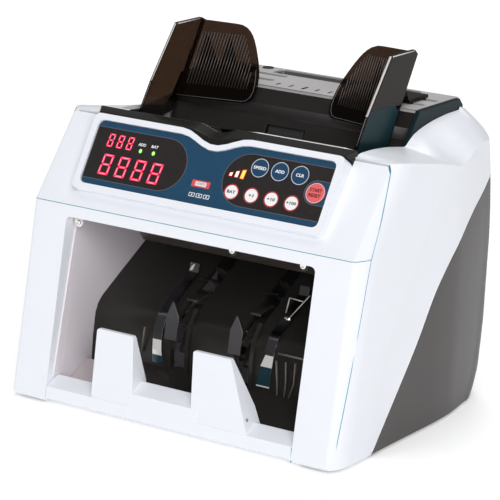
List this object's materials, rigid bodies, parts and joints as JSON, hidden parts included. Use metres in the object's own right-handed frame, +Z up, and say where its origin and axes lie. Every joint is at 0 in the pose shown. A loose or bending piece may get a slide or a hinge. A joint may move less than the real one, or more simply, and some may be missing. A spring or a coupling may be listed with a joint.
{
  "type": "banknote counting machine",
  "caption": "Desktop banknote counter with a top feed hopper, sliding note guides, display and key panel, and an open front stacker pocket.",
  "frame": {"origin": "centre of the bounding box at table level", "axes": "+Z up, front of the machine towards -Y, +X to the right seen from the front"},
  "size_m": [0.2608, 0.23, 0.247],
  "materials": {
    "white_cover": "smooth semi-gloss white moulding",
    "grey_cover": "dark warm grey, fine texture",
    "black_moulding": "black moulding, semi-gloss",
    "grey_moulding": "dark grey moulding",
    "smoke_guide": "brown-black smoked plastic, polished",
    "silver_plate": "fine silver finish",
    "bright_steel": "bright",
    "pressed_steel": "light grey paint",
    "rubber": "matt",
    "panel_blue": "printed film",
    "display_tint": "dark window",
    "key_white": "satin",
    "key_red": "satin",
    "key_navy": "satin",
    "circuit_board": "solder resist"
  },
  "bodies": {
    "housing": {"side_cover_left": "white_cover", "side_cover_right": "white_cover", "front_upper_cover": "white_cover", "front_lower_frame": "white_cover", "stacker_tray": "white_cover", "rear_cover": "grey_cover", "hopper_tray": "black_moulding", "hopper_back_wall": "black_moulding", "hopper_end_left": "black_moulding", "hopper_end_right": "black_moulding", "stacker_guide": "black_moulding", "handle_well": "black_moulding", "power_inlet": "black_moulding", "switch_frame": "black_moulding", "top_plate": "silver_plate", "note_deflector_left": "bright_steel", "note_deflector_right": "bright_steel", "main_motor": "bright_steel", "chassis_side_left": "pressed_steel", "chassis_side_right": "pressed_steel", "pocket_floor": "pressed_steel", "base_plate": "pressed_steel", "power_supply": "pressed_steel", "foot_front_left": "rubber", "foot_rear_left": "rubber", "foot_front_right": "rubber", "foot_rear_right": "rubber", "drive_belt": "rubber", "panel_overlay": "panel_blue", "display_window": "display_tint", "control_board": "circuit_board", "main_board": "circuit_board"},
    "right_guide_unit": {"guide_right": "smoke_guide", "rack_right": "bright_steel"},
    "left_guide_unit": {"guide_left": "smoke_guide", "rack_left": "bright_steel"},
    "guide_pinion": {"rack_pinion": "black_moulding"},
    "lift_handle": {"carry_handle": "grey_moulding"},
    "gap_adjuster": {"gap_screw": "bright_steel"},
    "mains_rocker": {"power_rocker": "black_moulding"},
    "motor_rotor": {"motor_pulley": "bright_steel"},
    "stacker_rotor": {"stacker_shaft": "bright_steel", "stacker_wheel_left": "black_moulding", "stacker_wheel_right": "black_moulding", "stacker_pulley": "black_moulding"},
    "exit_rotor": {"exit_roller": "rubber"},
    "feed_rotor": {"feed_shaft": "bright_steel", "feed_roller_left": "rubber", "feed_roller_right": "rubber", "feed_gear": "black_moulding"},
    "pickup_rotor": {"pickup_roller": "rubber"},
    "retard_rotor": {"retard_roller": "rubber"},
    "batch_key": {"key_batch": "key_white"},
    "plus_1_key": {"key_plus_1": "key_white"},
    "plus_10_key": {"key_plus_10": "key_white"},
    "plus_100_key": {"key_plus_100": "key_white"},
    "start_key": {"key_start": "key_red"},
    "speed_key": {"key_speed": "key_navy"},
    "add_key": {"key_add": "key_navy"},
    "clear_key": {"key_clear": "key_navy"}
  },
  "joints": [
    {"name": "right_guide_slide", "type": "slide", "parent": "housing", "child": "right_guide_unit", "axis": [-1, 0, 0], "range_m": [0, 0.026]},
    {"name": "left_guide_slide", "type": "slide", "parent": "housing", "child": "left_guide_unit", "axis": [1, 0, 0], "range_m": [0, 0.026]},
    {"name": "guide_pinion_turn", "type": "hinge", "parent": "housing", "child": "guide_pinion", "pos_m": [0, 0.0605, 0.198], "axis": [0, 0, 1], "range_deg": [-236, 2]},
    {"name": "handle_lift", "type": "slide", "parent": "housing", "child": "lift_handle", "axis": [0, 0, 1], "range_m": [0, 0.03]},
    {"name": "gap_screw_turn", "type": "hinge", "parent": "housing", "child": "gap_adjuster", "pos_m": [-0.0575, 0.0876, 0.205], "axis": [0, 0, 1], "range_deg": [-180, 180]},
    {"name": "rocker_tilt", "type": "hinge", "parent": "housing", "child": "mains_rocker", "pos_m": [0.03, 0.1065, 0.037], "axis": [1, 0, 0], "range_deg": [-8, 8]},
    {"name": "motor_spin", "type": "hinge", "parent": "housing", "child": "motor_rotor", "pos_m": [0.1, 0.067, 0.062], "axis": [1, 0, 0], "continuous": true},
    {"name": "stacker_spin", "type": "hinge", "parent": "housing", "child": "stacker_rotor", "pos_m": [0, -0.0155, 0.0475], "axis": [1, 0, 0], "continuous": true},
    {"name": "exit_spin", "type": "hinge", "parent": "housing", "child": "exit_rotor", "pos_m": [0, 0.019, 0.112], "axis": [1, 0, 0], "continuous": true},
    {"name": "feed_spin", "type": "hinge", "parent": "housing", "child": "feed_rotor", "pos_m": [0, 0.013, 0.158], "axis": [1, 0, 0], "continuous": true},
    {"name": "pickup_spin", "type": "hinge", "parent": "housing", "child": "pickup_rotor", "pos_m": [0, -0.017, 0.164], "axis": [1, 0, 0], "continuous": true},
    {"name": "retard_spin", "type": "hinge", "parent": "housing", "child": "retard_rotor", "pos_m": [0, 0.031, 0.176], "axis": [1, 0, 0], "continuous": true},
    {"name": "batch_key_press", "type": "slide", "parent": "housing", "child": "batch_key", "axis": [0, 0.8616, -0.5075], "range_m": [0, 0.0005], "stiffness_N_per_m": 2000},
    {"name": "plus_1_key_press", "type": "slide", "parent": "housing", "child": "plus_1_key", "axis": [0, 0.8616, -0.5075], "range_m": [0, 0.0005], "stiffness_N_per_m": 2000},
    {"name": "plus_10_key_press", "type": "slide", "parent": "housing", "child": "plus_10_key", "axis": [0, 0.8616, -0.5075], "range_m": [0, 0.0005], "stiffness_N_per_m": 2000},
    {"name": "plus_100_key_press", "type": "slide", "parent": "housing", "child": "plus_100_key", "axis": [0, 0.8616, -0.5075], "range_m": [0, 0.0005], "stiffness_N_per_m": 2000},
    {"name": "start_key_press", "type": "slide", "parent": "housing", "child": "start_key", "axis": [0, 0.8616, -0.5075], "range_m": [0, 0.0005], "stiffness_N_per_m": 2000},
    {"name": "speed_key_press", "type": "slide", "parent": "housing", "child": "speed_key", "axis": [0, 0.8616, -0.5075], "range_m": [0, 0.0005], "stiffness_N_per_m": 2000},
    {"name": "add_key_press", "type": "slide", "parent": "housing", "child": "add_key", "axis": [0, 0.8616, -0.5075], "range_m": [0, 0.0005], "stiffness_N_per_m": 2000},
    {"name": "clear_key_press", "type": "slide", "parent": "housing", "child": "clear_key", "axis": [0, 0.8616, -0.5075], "range_m": [0, 0.0005], "stiffness_N_per_m": 2000}
  ],
  "couplings": [
    {"joint": "left_guide_slide", "follows": "right_guide_slide", "ratio": 1},
    {"joint": "guide_pinion_turn", "follows": "right_guide_slide", "rad_per_m": -157.08},
    {"joint": "stacker_spin", "follows": "motor_spin", "ratio": 0.6},
    {"joint": "exit_spin", "follows": "motor_spin", "ratio": 0.75},
    {"joint": "feed_spin", "follows": "motor_spin", "ratio": -0.975},
    {"joint": "pickup_spin", "follows": "motor_spin", "ratio": -0.975}
  ]
}
